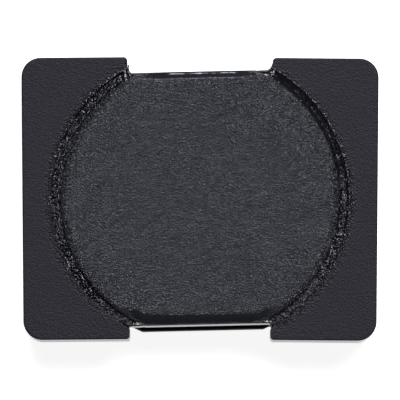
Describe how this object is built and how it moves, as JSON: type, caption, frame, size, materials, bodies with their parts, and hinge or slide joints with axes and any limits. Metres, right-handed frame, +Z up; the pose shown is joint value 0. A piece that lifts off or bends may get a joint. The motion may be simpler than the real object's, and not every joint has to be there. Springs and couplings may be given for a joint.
{
  "type": "shielded smd inductor",
  "caption": "Surface-mount power inductor: a flat-sided ferrite drum core with its copper coil, set between C-shaped ferrite shield halves on a base with wrap-round solder terminals.",
  "frame": {"origin": "middle of the underside of the solder pads, centred on the body", "axes": "+X along the body through both terminals, +Y across it towards the back window, +Z up off the board"},
  "size_m": [0.0186, 0.0148, 0.0071],
  "materials": {
    "core_ferrite": "black sealed ferrite with a fine orange-peel grain, satin",
    "shield_ferrite": "black sealed ferrite, fine grain, satin",
    "base_plastic": "black glass-filled moulding, matt",
    "tinned_strip": "matt tin plating on rolled copper strip",
    "enamelled_copper": "copper wire under clear amber enamel, glossy",
    "solder": "reflowed solder, satin",
    "black_epoxy": "black cured epoxy, glossy and lumpy"
  },
  "bodies": {
    "root": {"base": "base_plastic", "terminal_left": "tinned_strip", "terminal_right": "tinned_strip", "drum_core": "core_ferrite", "winding": "enamelled_copper", "shield_left": "shield_ferrite", "shield_right": "shield_ferrite", "solder_left": "solder", "solder_right": "solder", "drum_bond": "black_epoxy", "shield_bond_left": "black_epoxy", "shield_bond_right": "black_epoxy", "epoxy_left": "black_epoxy", "epoxy_right": "black_epoxy"}
  },
  "joints": []
}
